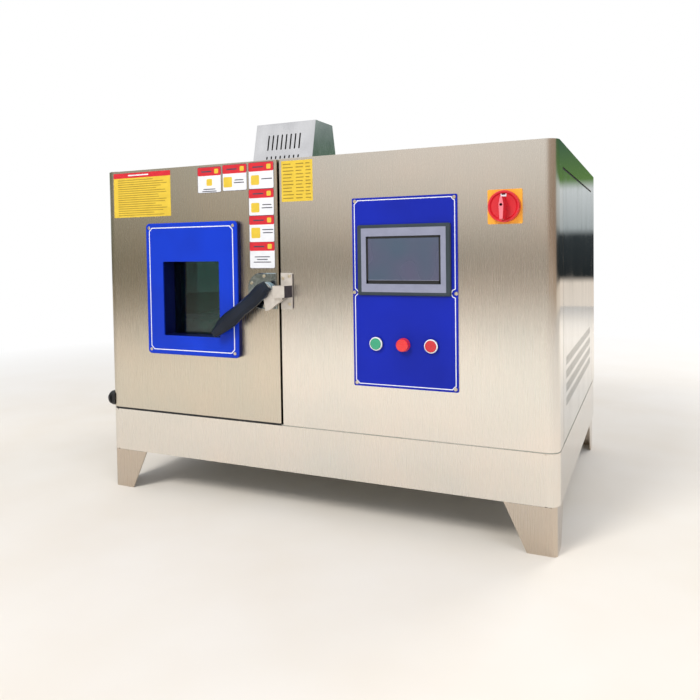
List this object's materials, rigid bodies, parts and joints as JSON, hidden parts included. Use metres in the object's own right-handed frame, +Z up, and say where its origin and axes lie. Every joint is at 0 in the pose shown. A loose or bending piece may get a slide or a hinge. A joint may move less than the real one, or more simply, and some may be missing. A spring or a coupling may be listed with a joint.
{
  "type": "environmental test chamber",
  "caption": "Bench test chamber with an insulated door and latch on the left, a control and machine side on the right, and a slotted motor hood on the roof.",
  "frame": {"origin": "centre of the overall box at floor level, under the feet", "axes": "+X to the right seen from the front, +Y from the front to the back, +Z up"},
  "size_m": [1.13, 0.8947, 0.9755],
  "materials": {
    "stainless": "brushed",
    "galvanised": "dull",
    "foam": "matte",
    "black_paint": "satin",
    "aluminium": "satin",
    "copper": "satin",
    "white_plastic": "gloss",
    "black_plastic": "matte",
    "grey_plastic": "matte",
    "blue_enamel": "satin",
    "screen": "gloss",
    "chrome": "polished",
    "green_plastic": "gloss",
    "red_plastic": "gloss",
    "yellow_plate": "gloss",
    "rubber": "matte",
    "clear_glass": "clear"
  },
  "bodies": {
    "cabinet": {"base_plinth": "stainless", "base_deck": "stainless", "foot_front_left": "stainless", "foot_front_right": "stainless", "foot_rear_left": "stainless", "foot_rear_right": "stainless", "casing_left_side": "stainless", "casing_top": "stainless", "casing_rear": "stainless", "front_panel": "stainless", "casing_right_frame": "stainless", "access_panel": "stainless", "partition_wall": "galvanised", "chamber_liner": "stainless", "insulation_slabs": "foam", "door_jamb": "stainless", "air_baffle": "stainless", "shelf_rails": "stainless", "wire_shelf": "stainless", "motor_hood": "galvanised", "blower_motor": "black_paint", "evaporator_coil": "copper", "heater_coil": "stainless", "humidifier_pan": "stainless", "temperature_sensors": "stainless", "chamber_lamp": "white_plastic", "compressor": "black_paint", "condenser_coil": "copper", "condenser_fan_shroud": "black_paint", "water_tank": "white_plastic", "electrical_modules": "grey_plastic", "control_panel_plate": "blue_enamel", "touch_screen_housing": "grey_plastic", "touch_screen_glass": "screen", "cabinet_screws": "chrome", "button_bezels": "white_plastic", "pilot_lamp": "red_plastic", "switch_plate": "yellow_plate", "switch_body": "black_plastic", "latch_keeper": "chrome", "cabinet_hinges": "stainless", "cable_gland": "black_plastic", "drain_fitting": "chrome"},
    "door": {"door_skin": "stainless", "door_inner_pan": "stainless", "door_foam": "foam", "door_gasket": "rubber", "window_frame": "blue_enamel", "window_panes": "clear_glass", "window_reveal": "aluminium", "latch_base": "chrome", "door_screws": "chrome", "door_pivot_blocks": "black_plastic"},
    "latch": {"latch_lever": "black_plastic", "latch_cam": "chrome"},
    "main_switch": {"switch_knob": "red_plastic"},
    "light_push": {"light_button": "green_plastic"},
    "power_push": {"power_button": "red_plastic"},
    "blower": {"blower_wheel": "aluminium"},
    "fan": {"condenser_fan": "black_plastic"}
  },
  "joints": [
    {"name": "door_swing", "type": "hinge", "parent": "cabinet", "child": "door", "pos_m": [-0.535, -0.3735, 0.5], "axis": [0, 0, -1], "range_deg": [0, 110]},
    {"name": "latch_turn", "type": "hinge", "parent": "door", "child": "latch", "pos_m": [-0.075, -0.4015, 0.5095], "axis": [0, 1, 0], "range_deg": [0, 90]},
    {"name": "main_switch_turn", "type": "hinge", "parent": "cabinet", "child": "main_switch", "pos_m": [0.465, -0.4015, 0.6804], "axis": [0, 1, 0], "range_deg": [0, 90]},
    {"name": "light_button_press", "type": "slide", "parent": "cabinet", "child": "light_push", "axis": [0, 1, 0], "range_m": [0, 0.003], "stiffness_N_per_m": 500, "springref_m": -0.002},
    {"name": "power_button_press", "type": "slide", "parent": "cabinet", "child": "power_push", "axis": [0, 1, 0], "range_m": [0, 0.003], "stiffness_N_per_m": 500, "springref_m": -0.002},
    {"name": "blower_spin", "type": "hinge", "parent": "cabinet", "child": "blower", "pos_m": [-0.25405, 0.0723, 0.7], "axis": [0, 0, 1], "continuous": true},
    {"name": "condenser_fan_spin", "type": "hinge", "parent": "cabinet", "child": "fan", "pos_m": [0.303, 0.3385, 0.3595], "axis": [0, 1, 0], "continuous": true}
  ]
}
